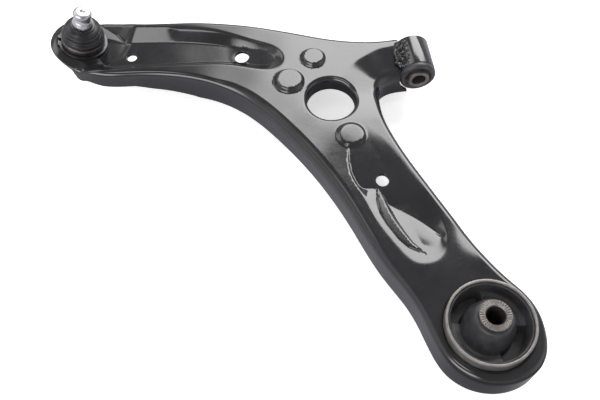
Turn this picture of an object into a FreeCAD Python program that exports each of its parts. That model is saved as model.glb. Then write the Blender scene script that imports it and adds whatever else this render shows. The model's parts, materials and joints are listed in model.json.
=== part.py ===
import FreeCAD, Part
import math
import os

from FreeCAD import Placement, Rotation, Vector

# Front lower control arm of a car: a single inverted-U steel pressing with a
# rear bush (vertical axis), a front bush (lying fore and aft) and a ball joint.
# Frame: origin at the centre of the rear bush, +Z up along its axis, +Y forward
# along the arm's pivot axis through both bushes, +X inboard. Millimetres.

Z_UP = Vector(0, 0, 1)
Y_FORWARD = Vector(0, 1, 0)
FIT_GAP = 0.02
RUNNING_GAP = 0.05
# Cutting tools run this far past what they cut
OVERRUN = 60.0
REACH = 400.0

# Arm pressing
SHEET = 3.2
TOP_Z = 11.0
WALL_FOOT_Z = -16.0
# Lower edge of the walls, seen from the front: x, z
WALL_FOOT = [(-200, -16.5), (-224, -12.5), (-242, -10.0), (-258, -6.0), (-298, -6.0), (-309, -6.0),
             (-312, -4.0), (-314, 2.0), (-315, 12.0)]
FOLD_RADIUS = 7.0
# Rear end round the bush: direction in degrees, radius
REAR_END = [(190, 42.2), (215, 42.3), (240, 42.8), (265, 43.6), (290, 45.0), (312, 46.0), (332, 44.4),
            (352, 41.8), (372, 40.6), (392, 40.6)]
INNER_SIDE = [(20, 44), (2.3, 79.5), (-17.5, 127), (-38, 184), (-41.5, 203), (-40.5, 222)]
INNER_CORNER = [(-36, 236), (-24, 242)]
# The outline runs on past the eye, where the pressing is cut back to it
EYE_END = [(-8, 242.5), (12, 245), (24, 263), (12, 283), (-8, 286)]
FAR_SIDE = [(-37, 286), (-72, 293), (-112, 307.5), (-170, 325.5), (-217, 332.5), (-262, 338)]
FRONT_SIDE = [(-303, 283), (-286, 276), (-257, 272.5), (-228, 268.5), (-200, 260), (-166, 240),
              (-134, 203), (-104, 153), (-84, 106), (-66, 58), (-50.5, 26)]
TIP_RADIUS = 29.0
TIP_ARC_DEG = range(70, 230, 31)
INSET_STATIONS = 110

# Reliefs pressed into the arm
FRONT_CHANNEL_Z = 3.5
FRONT_CHANNEL_RIM = [(-282, 332), (-217, 325), (-165, 311), (-124, 290), (-119, 274), (-133, 262),
                     (-160, 268), (-200, 275), (-262, 280), (-290, 300)]
FRONT_CHANNEL_FLOOR = [(-276, 326), (-217, 308), (-165, 295), (-136, 285), (-130, 279), (-139, 273),
                       (-163, 280), (-200, 286), (-258, 290), (-280, 304)]
REAR_CHANNEL_Z = 5.0
REAR_CHANNEL_RIM = [(-84, 180), (-81, 148), (-66, 102), (-52, 60), (-30, 50), (-2, 64), (-9, 92),
                    (-22, 124), (-35, 158), (-45, 184), (-64, 190)]
REAR_CHANNEL_FLOOR = [(-70, 170), (-67, 146), (-53, 106), (-42, 76), (-28, 68), (-14, 76), (-21, 98),
                      (-34, 128), (-46, 156), (-52, 172), (-61, 176)]
# Flat pad round the ball joint, edge where it meets the channel; in the pad's own plane
PAD_EDGE = [(-60, -60), (6, -60), (16, -40), (30, -14), (30, 12), (14, 30), (4, 60), (-60, 60)]
PAD_OFFSET = Vector(1.0, 0.3, 0.0)
# Round bosses: x, y, base radius, height
BOSSES = [(-93.7, 270.4, 11.9, 4.0), (-118.6, 246.7, 14.3, 4.5), (-73.0, 182.0, 14.0, 3.5)]
BOSS_FLANK = 4.5
# Paint drain and jig holes: x, y, radius
DRAIN_HOLES = [(-259.0, 299.0, 4.6), (-158.0, 286.0, 6.6), (-54.5, 135.4, 5.5)]
CENTRE_HOLE = (-84.3, 222.7)
CENTRE_HOLE_RADIUS = 21.5
CENTRE_HOLE_ROLL = 4.2
CENTRE_FLANGE_Z = -3.0

# Rear bush, axis +Z through the origin
REAR_SLEEVE_RADIUS = 34.0
REAR_SLEEVE_WALL = 2.4
REAR_SLEEVE_HALF = 19.0
REAR_COLLAR_FOOT_Z = -12.0
# Thinned as it is drawn down, so it stays clear of the outer wall
REAR_COLLAR_WALL = 2.2
REAR_COLLAR_ROLL = 3.5
REAR_CORE_RADIUS = 12.0
REAR_BORE_RADIUS = 7.15
REAR_CORE_HALF = 32.0
CORE_CHAMFER = 0.4
# Upper half of the rubber's section, from the sleeve to the core: radius, height
REAR_RUBBER_SIDE = [(30.2, 17.5), (29.4, 16.5), (29.0, 8.0), (21.5, 7.0), (19.5, 11.0),
                    (17.0, 20.0), (14.6, 27.0), (13.6, 28.0)]
VOID_MID_DEG = (127.0, -43.0)
VOID_SPAN_DEG = 76.0
VOID_RADII = (20.5, 28.4)
VOID_DEPTH_Z = -5.0

# Front bush, axis +Y through the origin
EYE_RADIUS = 16.75
EYE_WALL = 2.5
EYE_Y = (249.0, 281.0)
FRONT_SLEEVE_WALL = 1.2
FRONT_CORE_RADIUS = 9.75
FRONT_BORE_RADIUS = 6.2
FRONT_CORE_Y = (241.5, 286.5)
FRONT_FLANGE_RADIUS = 16.6
FRONT_FLANGE_THICK = 5.0
FRONT_RUBBER_END = 1.5
FLANGE_CLEARANCE = 1.2
PRESSING_END_X = -9.0
WELD_RADIUS = 3.0
WELD_CENTRES = {"upper": (-14.0, 12.4), "lower": (-16.0, 6.4)}

# Ball joint; heights are along its own axis from the top face of the arm's pad
PAD_CENTRE = Vector(-302.8, 319.6, 8.0)
JOINT_TILT_DEG = 13.0
HOUSING_RADIUS = 20.0
HOUSING_BAND_RADIUS = 19.4
HOUSING_BORE = 16.6
HOUSING_SHOULDER = 22.6
HOUSING_FOOT = -22.0
HOUSING_TOP = 10.3
HOUSING_RIM = 1.4
HOUSING_RIM_RADIUS = 14.5
HOUSING_LIP_RADIUS = 17.9
HOUSING_SWING_GAP = 0.9
BOOT_GROOVE_RADIUS = 17.2
BOOT_GROOVE_HEIGHTS = (7.4, 9.5)
COVER_THICK = 1.5
COVER_DISH = 1.2
COVER_DISH_RADIUS = 9.0
PAD_COLLAR_DEPTH = 9.0
BALL_HEIGHT = -4.0
BALL_RADIUS = 13.0
BALL_TILT_DEG = 28.0
SEAT_WRAP = 6.5
SEAT_GREASE_HOLE = 5.0
SEAT_MOUTH_DEPTH = 1.5
SEAT_SWING_GAP = 0.3
NECK_RADIUS = 6.5
NECK_TOP = 15.0
BOOT_SEAT_RADIUS = 7.8
COLLAR_RADIUS = 9.0
COLLAR_HEIGHTS = (23.8, 28.0)
SHANK_RADIUS = 8.2
SHANK_TOP = 39.6
PINCH_HEIGHTS = (29.6, 35.4)
PINCH_DEPTH = 0.9
# Rounded top edge: how far in from the shank's side, how far down from its top
STUD_CROWN = [(0.0, 3.0), (0.9, 1.3), (3.0, 0.4)]
CENTRE_DRILL = 2.2
BALL_FLAT = 1.0
SNAP_RING_RADII = (19.0, 21.9)
SNAP_RING_THICK = 1.7
SNAP_GAP_DEG = 18.0
SNAP_GAP_MID_DEG = 181.0
LUG_RADIUS = 2.3
LUG_HOLE_RADIUS = 0.9
LUG_STEP_DEG = 3.0
BOOT_WALL = 1.5
BOOT_OUTLINE = [(18.5, 9.6), (18.6, 12.0), (15.0, 15.4), (15.4, 19.0), (10.8, 22.2)]
BOOT_TOP = 23.6
BOOT_GRIP = 3.5
BOOT_NECK_RADIUS = 10.3
BOOT_RING_RADIUS = 18.6
RING_THICK = 0.8


def on_circle(radius, degrees, centre=(0.0, 0.0)):
    angle = math.radians(degrees)
    return Vector(centre[0] + radius * math.cos(angle), centre[1] + radius * math.sin(angle), 0)


def flat_points(pairs, z=0.0):
    return [Vector(x, y, z) for x, y in pairs]


def turned(outline):
    """Solid of revolution about +Z from a closed (radius, height) outline."""
    points = [Vector(radius, 0, height) for radius, height in outline]
    wire = Part.makePolygon(points + points[:1])
    return Part.Face(wire).revolve(Vector(), Z_UP, 360)


def tube(outer, inner, low, high):
    return turned([(inner, low), (outer, low), (outer, high), (inner, high)])


def on_axis(shape, base, direction):
    """Place a shape made about +Z on another axis."""
    shape.Placement = Placement(base, Rotation(Z_UP, direction)).multiply(shape.Placement)
    return shape


def joint_axis():
    tilt = math.radians(JOINT_TILT_DEG)
    return Vector(math.sin(tilt), 0, math.cos(tilt))


def on_ball_joint(shape):
    return on_axis(shape, PAD_CENTRE, joint_axis())


def closed_curve(points):
    """Smooth closed wire through points."""
    curve = Part.BSplineCurve()
    curve.interpolate(Points=points, PeriodicFlag=True)
    return Part.Wire(curve.toShape())


def arm_outline():
    """Plan outline of the arm's outer wall, counter-clockwise, run past the front eye."""
    rear = [on_circle(radius, degrees) for degrees, radius in REAR_END]
    centre = (PAD_CENTRE.x, PAD_CENTRE.y)
    tip = [on_circle(TIP_RADIUS, degrees, centre) for degrees in TIP_ARC_DEG]
    return closed_curve(rear + flat_points(INNER_SIDE + INNER_CORNER + EYE_END + FAR_SIDE)
                        + tip + flat_points(FRONT_SIDE))


def inset_curve(wire, inset):
    """The closed counter-clockwise curve that runs a fixed distance inside another."""
    edge = wire.Edges[0]
    step = (edge.LastParameter - edge.FirstParameter) / INSET_STATIONS
    points = []
    for station in range(INSET_STATIONS):
        parameter = edge.FirstParameter + station * step
        inward = Z_UP.cross(edge.tangentAt(parameter))
        points.append(edge.valueAt(parameter) + inward * inset)
    return closed_curve(points)


def arm_block(inset):
    """Solid block inside the arm's outline, its top edge rounded; inset follows the sheet."""
    outline = arm_outline()
    if inset:
        outline = inset_curve(outline, inset)
    height = TOP_Z - inset - WALL_FOOT_Z + 2 * inset
    block = Part.Face(outline).extrude(Vector(0, 0, height))
    block.translate(Vector(0, 0, WALL_FOOT_Z - 2 * inset))
    top = TOP_Z - inset
    rim = [edge for edge in block.Edges
           if all(abs(vertex.Z - top) < 0.01 for vertex in edge.Vertexes)]
    return block.makeFillet(FOLD_RADIUS - inset, rim)


def pressed_pocket(rim, floor, floor_z):
    """Sloping-sided pocket between a rim outline at the top face and a floor outline."""
    wires = [closed_curve(flat_points(rim, TOP_Z)), closed_curve(flat_points(floor, floor_z))]
    return Part.makeLoft(wires, True, True)


def pad_cutter():
    """Everything above the tilted flat pad that carries the ball joint."""
    face = Part.Face(Part.makePolygon(flat_points(PAD_EDGE + PAD_EDGE[:1])))
    cutter = face.extrude(Vector(0, 0, OVERRUN))
    return on_ball_joint(cutter)


def bossed_and_pocketed(block, drop):
    """Press the reliefs into a block; drop lowers them to shape the sheet's underside."""
    down = Vector(0, 0, -drop)
    tools = [pressed_pocket(FRONT_CHANNEL_RIM, FRONT_CHANNEL_FLOOR, FRONT_CHANNEL_Z),
             pressed_pocket(REAR_CHANNEL_RIM, REAR_CHANNEL_FLOOR, REAR_CHANNEL_Z),
             pad_cutter()]
    for tool in tools:
        tool.translate(down)
        block = block.cut(tool)
    for x, y, radius, height in BOSSES:
        boss = Part.makeCone(radius, radius - BOSS_FLANK, height, Vector(x, y, TOP_Z))
        root = Part.makeCylinder(radius, height, Vector(x, y, TOP_Z - height))
        boss = boss.fuse(root)
        boss.translate(down)
        block = block.fuse(boss)
    return block


def foot_trimmer():
    """Cuts the walls' lower edge, which rises towards the ball joint."""
    low = WALL_FOOT_Z - OVERRUN
    corners = [(-REACH, WALL_FOOT[-1][1]), (-REACH, low), (WALL_FOOT[0][0], low)]
    points = [Vector(x, 0, z) for x, z in corners + WALL_FOOT]
    face = Part.Face(Part.makePolygon(points + points[:1]))
    return face.extrude(Vector(0, 2 * REACH, 0))


def rolled_hole(radius, roll, wall, flange_z):
    """Flange turned down round a hole, and the cutter with the rolled lip."""
    flange = tube(radius + wall, radius - 1.0, flange_z, TOP_Z - 1.0)
    quarter = math.sqrt(0.5)
    lip = [Vector(radius, 0, TOP_Z - roll),
           Vector(radius + roll * (1 - quarter), 0, TOP_Z - roll * (1 - quarter)),
           Vector(radius + roll, 0, TOP_Z)]
    body = [Vector(radius + roll, 0, TOP_Z + 10), Vector(0, 0, TOP_Z + 10),
            Vector(0, 0, WALL_FOOT_Z - 10), Vector(radius, 0, WALL_FOOT_Z - 10)]
    edges = [Part.Arc(*lip).toShape(), Part.makePolygon([lip[2]] + body + [lip[0]])]
    wire = Part.Wire(edges[:1] + edges[1].Edges)
    cutter = Part.Face(wire).revolve(Vector(), Z_UP, 360)
    return flange, cutter


def arm_pressing():
    skin = bossed_and_pocketed(arm_block(0.0), 0.0)
    core = bossed_and_pocketed(arm_block(SHEET), SHEET)
    arm = skin.cut(core).cut(foot_trimmer())

    pad = Part.makeCylinder(TIP_RADIUS, SHEET, PAD_OFFSET - Z_UP * SHEET)
    pad_collar = Part.makeCylinder(HOUSING_RADIUS + SHEET, PAD_COLLAR_DEPTH, -Z_UP * PAD_COLLAR_DEPTH)
    pad_hole = Part.makeCylinder(HOUSING_RADIUS + FIT_GAP, OVERRUN, Vector(0, 0, -OVERRUN / 2))
    arm = arm.fuse([on_ball_joint(pad), on_ball_joint(pad_collar)]).cut(on_ball_joint(pad_hole))

    x, y = CENTRE_HOLE
    holes = [(rolled_hole(CENTRE_HOLE_RADIUS, CENTRE_HOLE_ROLL, SHEET, CENTRE_FLANGE_Z), Vector(x, y, 0)),
             (rolled_hole(REAR_SLEEVE_RADIUS + FIT_GAP, REAR_COLLAR_ROLL, REAR_COLLAR_WALL, REAR_COLLAR_FOOT_Z),
              Vector())]
    for (flange, cutter), place in holes:
        flange.translate(place)
        cutter.translate(place)
        arm = arm.fuse(flange).cut(cutter)
    for x, y, radius in DRAIN_HOLES:
        arm = arm.cut(Part.makeCylinder(radius, OVERRUN, Vector(x, y, -OVERRUN / 2)))

    eye = Part.makeCylinder(EYE_RADIUS + FIT_GAP, OVERRUN, Vector(0, EYE_Y[0], 0), Y_FORWARD)
    flange_room = Part.makeCylinder(FRONT_FLANGE_RADIUS + FLANGE_CLEARANCE, OVERRUN,
                                    Vector(0, EYE_Y[0] - OVERRUN, 0), Y_FORWARD)
    past_eye = Part.makeBox(OVERRUN, OVERRUN, OVERRUN, Vector(PRESSING_END_X, EYE_Y[0] - 10, -OVERRUN / 2))
    return arm.cut(past_eye).cut(eye).cut(flange_room)


def front_bush_tube():
    length = EYE_Y[1] - EYE_Y[0]
    return on_axis(tube(EYE_RADIUS, EYE_RADIUS - EYE_WALL, 0, length), Vector(0, EYE_Y[0], 0), Y_FORWARD)


def tube_weld(arm, side):
    """Fillet weld between the pressing and the eye, cleared of both."""
    x, z = WELD_CENTRES[side]
    bead = Part.makeCylinder(WELD_RADIUS, EYE_Y[1] - EYE_Y[0] - 2, Vector(x, EYE_Y[0] + 1, z), Y_FORWARD)
    eye = Part.makeCylinder(EYE_RADIUS + FIT_GAP, OVERRUN, Vector(0, EYE_Y[0] - 10, 0), Y_FORWARD)
    return bead.cut(eye).cut(arm)


def rear_bush_outer_sleeve():
    inner = REAR_SLEEVE_RADIUS - REAR_SLEEVE_WALL
    return tube(REAR_SLEEVE_RADIUS, inner, -REAR_SLEEVE_HALF, REAR_SLEEVE_HALF)


def bored_core(radius, bore, length):
    """Steel inner sleeve of a bush, standing on z = 0, its edges and bore chamfered."""
    c = CORE_CHAMFER
    return turned([(bore + c, 0), (radius - c, 0), (radius, c), (radius, length - c),
                   (radius - c, length), (bore + c, length), (bore, length - c), (bore, c)])


def rear_bush_inner_sleeve():
    core = bored_core(REAR_CORE_RADIUS, REAR_BORE_RADIUS, 2 * REAR_CORE_HALF)
    core.translate(Vector(0, 0, -REAR_CORE_HALF))
    return core


def sector(start, span):
    """Tall wedge from the +Z axis, spanning less than a half turn."""
    far = 3 * REAR_SLEEVE_RADIUS
    corners = [Vector(), on_circle(far, start), on_circle(far, start + span / 2),
               on_circle(far, start + span), Vector()]
    wedge = Part.Face(Part.makePolygon(corners)).extrude(Vector(0, 0, OVERRUN))
    wedge.translate(Vector(0, 0, -OVERRUN / 2))
    return wedge


def rear_bush_rubber():
    """Bonded rubber: a dome round the core, a web, and a lip inside the sleeve, with two kidney voids."""
    inner = REAR_CORE_RADIUS + RUNNING_GAP
    outer = REAR_SLEEVE_RADIUS - REAR_SLEEVE_WALL - FIT_GAP
    upper = [(outer, REAR_RUBBER_SIDE[0][1])] + REAR_RUBBER_SIDE + [(inner, REAR_RUBBER_SIDE[-1][1])]
    lower = [(radius, -height) for radius, height in reversed(upper)]
    rubber = turned(upper + lower)
    for middle in VOID_MID_DEG:
        ring = tube(VOID_RADII[1], VOID_RADII[0], VOID_DEPTH_Z, REAR_SLEEVE_HALF)
        rubber = rubber.cut(ring.common(sector(middle - VOID_SPAN_DEG / 2, VOID_SPAN_DEG)))
    return rubber


def front_bush_outer_sleeve():
    outer = EYE_RADIUS - EYE_WALL - FIT_GAP
    length = EYE_Y[1] - EYE_Y[0]
    sleeve = tube(outer, outer - FRONT_SLEEVE_WALL, 0, length)
    return on_axis(sleeve, Vector(0, EYE_Y[0], 0), Y_FORWARD)


def front_bush_rubber():
    """Rubber bonded in the front sleeve, with a flange over the rear end of the eye."""
    inner = FRONT_CORE_RADIUS + RUNNING_GAP
    body = EYE_RADIUS - EYE_WALL - FRONT_SLEEVE_WALL - 2 * FIT_GAP
    length = EYE_Y[1] - EYE_Y[0]
    face = -FRONT_FLANGE_THICK
    far = length + FRONT_RUBBER_END
    rubber = turned([(inner, face + 1.4), (inner + 1.2, face + 1.4), (inner + 1.6, face),
                     (FRONT_FLANGE_RADIUS - 1.2, face), (FRONT_FLANGE_RADIUS, face + 1.2),
                     (FRONT_FLANGE_RADIUS, -FIT_GAP), (body, -FIT_GAP), (body, length), (inner, far)])
    return on_axis(rubber, Vector(0, EYE_Y[0], 0), Y_FORWARD)


def front_bush_inner_sleeve():
    near, far = FRONT_CORE_Y
    core = bored_core(FRONT_CORE_RADIUS, FRONT_BORE_RADIUS, far - near)
    return on_axis(core, Vector(0, near, 0), Y_FORWARD)


def swing_radius(height, clearance):
    """Opening needed round the stud's neck at a height above the ball's centre."""
    tilt = math.radians(BALL_TILT_DEG)
    return (NECK_RADIUS + height * math.sin(tilt)) / math.cos(tilt) + clearance


def ball_joint_housing():
    """Steel cup pressed up through the pad, with a snap-ring groove and a groove for the boot."""
    seat_top = BALL_HEIGHT + SEAT_WRAP + RUNNING_GAP
    rim_top = HOUSING_FOOT + HOUSING_RIM
    stop = -PAD_COLLAR_DEPTH - FIT_GAP
    snap_groove = SNAP_RING_RADII[0] - FIT_GAP
    snap_top = SNAP_RING_THICK + RUNNING_GAP
    boot_low, boot_high = BOOT_GROOVE_HEIGHTS
    outline = [(HOUSING_RIM_RADIUS, HOUSING_FOOT), (HOUSING_BAND_RADIUS, HOUSING_FOOT),
               (HOUSING_BAND_RADIUS, stop - SHEET), (HOUSING_SHOULDER, stop - SHEET),
               (HOUSING_SHOULDER, stop),
               (HOUSING_RADIUS, stop), (HOUSING_RADIUS, 0.0), (snap_groove, 0.0), (snap_groove, snap_top),
               (HOUSING_BAND_RADIUS, snap_top), (HOUSING_BAND_RADIUS, boot_low - 0.8),
               (HOUSING_BAND_RADIUS - 0.6, boot_low), (BOOT_GROOVE_RADIUS, boot_low),
               (BOOT_GROOVE_RADIUS, boot_high), (HOUSING_LIP_RADIUS, boot_high),
               (HOUSING_LIP_RADIUS, HOUSING_TOP),
               (swing_radius(HOUSING_TOP - BALL_HEIGHT, HOUSING_SWING_GAP), HOUSING_TOP),
               (swing_radius(seat_top - BALL_HEIGHT, HOUSING_SWING_GAP), seat_top),
               (HOUSING_BORE, seat_top), (HOUSING_BORE, rim_top), (HOUSING_RIM_RADIUS, rim_top)]
    return on_ball_joint(turned(outline))


def ball_joint_end_cover():
    """Dished disc held in the housing's foot by its rolled rim."""
    low = HOUSING_FOOT + HOUSING_RIM + FIT_GAP
    high = low + COVER_THICK
    radius = HOUSING_BORE - FIT_GAP
    dish = COVER_DISH_RADIUS
    section = [(0, low - COVER_DISH), (dish, low - COVER_DISH), (dish + 2, low), (radius, low),
               (radius, high), (dish + 1.5, high), (dish - 0.5, high - COVER_DISH), (0, high - COVER_DISH)]
    return on_ball_joint(turned(section))


def ball_seat():
    """Plastic cup that wraps the ball past its equator."""
    low = HOUSING_FOOT + HOUSING_RIM + COVER_THICK + 2 * FIT_GAP
    high = BALL_HEIGHT + SEAT_WRAP
    cup = tube(HOUSING_BORE - FIT_GAP, SEAT_GREASE_HOLE, low, high)
    hollow = Part.makeSphere(BALL_RADIUS + RUNNING_GAP, Vector(0, 0, BALL_HEIGHT))
    mouth_low = SEAT_WRAP - SEAT_MOUTH_DEPTH
    mouth = Part.makeCone(swing_radius(mouth_low, SEAT_SWING_GAP), swing_radius(SEAT_WRAP, SEAT_SWING_GAP),
                          SEAT_MOUTH_DEPTH, Vector(0, 0, BALL_HEIGHT + mouth_low))
    return on_ball_joint(cup.cut(hollow).cut(mouth))


def ball_stud():
    """Ball, neck, boot seat, collar and grooved shank in one forging."""
    pinch_low, pinch_high = PINCH_HEIGHTS
    collar_low, collar_high = COLLAR_HEIGHTS
    groove = [Vector(SHANK_RADIUS, 0, pinch_low),
              Vector(SHANK_RADIUS - PINCH_DEPTH, 0, (pinch_low + pinch_high) / 2),
              Vector(SHANK_RADIUS, 0, pinch_high)]
    crown = [Vector(SHANK_RADIUS - inward, 0, SHANK_TOP - down) for inward, down in STUD_CROWN]
    low = [(0, BALL_HEIGHT), (NECK_RADIUS, BALL_HEIGHT), (NECK_RADIUS, NECK_TOP),
           (BOOT_SEAT_RADIUS, BOOT_TOP - BOOT_GRIP), (BOOT_SEAT_RADIUS, BOOT_TOP),
           (COLLAR_RADIUS, collar_low), (COLLAR_RADIUS, collar_high - 1.0), (SHANK_RADIUS, collar_high)]
    dimple = [(CENTRE_DRILL, SHANK_TOP), (CENTRE_DRILL - 0.8, SHANK_TOP - 1.6), (0, SHANK_TOP - 2.2),
              (0, BALL_HEIGHT)]
    low = [Vector(radius, 0, height) for radius, height in low]
    dimple = [Vector(radius, 0, height) for radius, height in dimple]
    edges = Part.makePolygon(low + groove[:1]).Edges + [Part.Arc(*groove).toShape()]
    edges += [Part.makeLine(groove[2], crown[0]), Part.Arc(*crown).toShape()]
    edges += Part.makePolygon(crown[2:] + dimple).Edges
    shank = Part.Face(Part.Wire(edges)).revolve(Vector(), Z_UP, 360)
    ball = Part.makeSphere(BALL_RADIUS, Vector(0, 0, BALL_HEIGHT))
    flat = Part.makeCylinder(BALL_RADIUS, BALL_FLAT, Vector(0, 0, BALL_HEIGHT - BALL_RADIUS))
    return on_ball_joint(ball.cut(flat).fuse(shank).removeSplitter())


def dust_boot():
    """Two-fold rubber boot from the housing's groove to the stud's boot seat."""
    groove = BOOT_GROOVE_RADIUS + FIT_GAP
    lip = HOUSING_LIP_RADIUS + 4 * FIT_GAP
    low, high = BOOT_GROOVE_HEIGHTS
    seat = BOOT_SEAT_RADIUS + RUNNING_GAP
    outer = [Vector(radius, 0, height) for radius, height in BOOT_OUTLINE]
    inner = [Vector(radius - BOOT_WALL, 0, height) for radius, height in reversed(BOOT_OUTLINE[1:])]
    inner.append(Vector(lip, 0, HOUSING_TOP + BOOT_WALL / 5))
    curves = []
    for points in (outer, inner):
        curve = Part.BSplineCurve()
        curve.interpolate(Points=points)
        curves.append(curve.toShape())
    foot = [(lip, high - FIT_GAP), (groove, high - 5 * FIT_GAP), (groove, low + FIT_GAP),
            (BOOT_RING_RADIUS, low + FIT_GAP), (BOOT_RING_RADIUS, high - 0.3)]
    neck = BOOT_NECK_RADIUS
    head = [(neck, BOOT_TOP - 3.0), (neck, BOOT_TOP - 0.9), (neck + 0.6, BOOT_TOP - 0.6),
            (neck + 0.3, BOOT_TOP - RUNNING_GAP), (seat, BOOT_TOP - RUNNING_GAP),
            (seat, BOOT_TOP - BOOT_GRIP + 0.1)]
    foot = [inner[-1]] + [Vector(radius, 0, height) for radius, height in foot] + [outer[0]]
    head = [outer[-1]] + [Vector(radius, 0, height) for radius, height in head] + [inner[0]]
    edges = curves + Part.makePolygon(foot).Edges + Part.makePolygon(head).Edges
    wire = Part.Wire(Part.__sortEdges__(edges))
    return on_ball_joint(Part.Face(wire).revolve(Vector(), Z_UP, 360))


def boot_lower_ring():
    low, high = BOOT_GROOVE_HEIGHTS
    inner = BOOT_RING_RADIUS + FIT_GAP
    return on_ball_joint(tube(inner + RING_THICK, inner, low + 0.3, high - 0.4))


def boot_upper_ring():
    inner = BOOT_NECK_RADIUS + FIT_GAP
    return on_ball_joint(tube(inner + RING_THICK, inner, BOOT_TOP - 2.8, BOOT_TOP - 1.1))


def snap_ring():
    """Spring ring in the housing's groove above the pad, with a lug at each end."""
    inner, outer = SNAP_RING_RADII
    ring = tube(outer, inner, FIT_GAP, SNAP_RING_THICK)
    low = SNAP_GAP_MID_DEG - SNAP_GAP_DEG / 2
    high = SNAP_GAP_MID_DEG + SNAP_GAP_DEG / 2
    ring = ring.cut(sector(low, SNAP_GAP_DEG))
    for degrees in (low - LUG_STEP_DEG, high + LUG_STEP_DEG):
        centre = on_circle(outer - 0.4, degrees) + Vector(0, 0, FIT_GAP)
        lug = Part.makeCylinder(LUG_RADIUS, SNAP_RING_THICK - FIT_GAP, centre)
        housing = Part.makeCylinder(HOUSING_BAND_RADIUS + FIT_GAP, OVERRUN)
        hole = Part.makeCylinder(LUG_HOLE_RADIUS, OVERRUN, centre + Vector(0, 0, -OVERRUN / 2))
        ring = ring.fuse(lug.cut(housing)).cut(hole)
    return on_ball_joint(ring.removeSplitter())


def build():
    arm = arm_pressing()
    return {
        "arm_pressing": arm,
        "front_bush_tube": front_bush_tube(),
        "tube_weld_upper": tube_weld(arm, "upper"),
        "tube_weld_lower": tube_weld(arm, "lower"),
        "rear_bush_outer_sleeve": rear_bush_outer_sleeve(),
        "rear_bush_rubber": rear_bush_rubber(),
        "rear_bush_inner_sleeve": rear_bush_inner_sleeve(),
        "front_bush_outer_sleeve": front_bush_outer_sleeve(),
        "front_bush_rubber": front_bush_rubber(),
        "front_bush_inner_sleeve": front_bush_inner_sleeve(),
        "ball_joint_housing": ball_joint_housing(),
        "ball_joint_end_cover": ball_joint_end_cover(),
        "ball_seat": ball_seat(),
        "ball_stud": ball_stud(),
        "dust_boot": dust_boot(),
        "boot_upper_ring": boot_upper_ring(),
        "boot_lower_ring": boot_lower_ring(),
        "snap_ring": snap_ring(),
    }


os.makedirs("parts", exist_ok=True)
for name, shape in build().items():
    shape.exportStep("parts/" + name + ".step")
    print(name, "valid" if shape.isValid() else "INVALID", len(shape.Solids), round(shape.Volume))
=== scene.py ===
"""Looks of the lower control arm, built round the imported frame.

Shapes are in millimetres until they become meshes. Heights on the ball joint are from the pad's top."""

import json
import math

import bmesh
import bpy
import numpy as np
from mathutils import Matrix, Vector, noise
from mathutils.geometry import delaunay_2d_cdt


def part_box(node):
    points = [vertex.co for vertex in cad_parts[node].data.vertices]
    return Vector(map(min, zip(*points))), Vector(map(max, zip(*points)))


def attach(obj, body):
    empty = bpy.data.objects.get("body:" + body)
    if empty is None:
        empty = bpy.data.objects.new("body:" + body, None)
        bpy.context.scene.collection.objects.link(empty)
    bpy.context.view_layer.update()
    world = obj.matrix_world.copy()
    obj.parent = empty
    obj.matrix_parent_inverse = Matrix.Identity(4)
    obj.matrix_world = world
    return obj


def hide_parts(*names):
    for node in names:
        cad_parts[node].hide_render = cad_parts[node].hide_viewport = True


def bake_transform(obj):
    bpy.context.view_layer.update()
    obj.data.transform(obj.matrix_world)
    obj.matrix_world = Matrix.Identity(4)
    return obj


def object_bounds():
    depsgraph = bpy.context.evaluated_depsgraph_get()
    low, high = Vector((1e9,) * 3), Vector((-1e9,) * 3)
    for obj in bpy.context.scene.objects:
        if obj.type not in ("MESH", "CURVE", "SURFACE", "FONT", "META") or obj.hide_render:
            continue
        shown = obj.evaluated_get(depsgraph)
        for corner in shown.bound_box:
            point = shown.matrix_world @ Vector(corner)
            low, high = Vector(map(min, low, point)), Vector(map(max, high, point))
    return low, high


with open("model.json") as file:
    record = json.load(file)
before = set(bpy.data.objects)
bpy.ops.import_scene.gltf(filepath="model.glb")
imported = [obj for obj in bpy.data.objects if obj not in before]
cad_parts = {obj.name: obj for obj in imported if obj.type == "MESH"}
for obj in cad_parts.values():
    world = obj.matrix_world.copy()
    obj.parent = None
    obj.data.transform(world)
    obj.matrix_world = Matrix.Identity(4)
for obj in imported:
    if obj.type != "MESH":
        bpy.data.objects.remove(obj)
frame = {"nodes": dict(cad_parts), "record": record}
cad_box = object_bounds()

MM = 0.001
SHEET = 3.2
# Height of the pressing's flat top
TOP_Z = 11.0

# ---- places, from the frame

JOINTS = {joint["name"]: joint for joint in frame["record"]["behaviour"]["joints"]}
BALL_CENTRE = np.array(JOINTS["stud_spin"]["pos_m"]) / MM
BALL_AXIS = np.array(JOINTS["stud_spin"]["axis"])
# From the ball's centre up to the pad's top
BALL_DROP = 4.0
PAD = BALL_CENTRE + BALL_AXIS * BALL_DROP
PAD_SLOPE = BALL_AXIS[0] / BALL_AXIS[2]


def box_mm(node):
    low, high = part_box(node)
    return np.array(low) / MM, np.array(high) / MM


EYE_LOW, EYE_HIGH = box_mm("front_bush_tube")
EYE_Y = (EYE_LOW[1], EYE_HIGH[1])
EYE_RADIUS = (EYE_HIGH[0] - EYE_LOW[0]) / 2
SLEEVE_RADIUS, _, SLEEVE_HALF = box_mm("rear_bush_outer_sleeve")[1]
CORE_RADIUS, _, CORE_HALF = box_mm("rear_bush_inner_sleeve")[1]
FRONT_CORE_LOW, FRONT_CORE_HIGH = box_mm("front_bush_inner_sleeve")
FRONT_CORE_RADIUS = FRONT_CORE_HIGH[0]
FRONT_CORE_Y = (FRONT_CORE_LOW[1], FRONT_CORE_HIGH[1])


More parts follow.
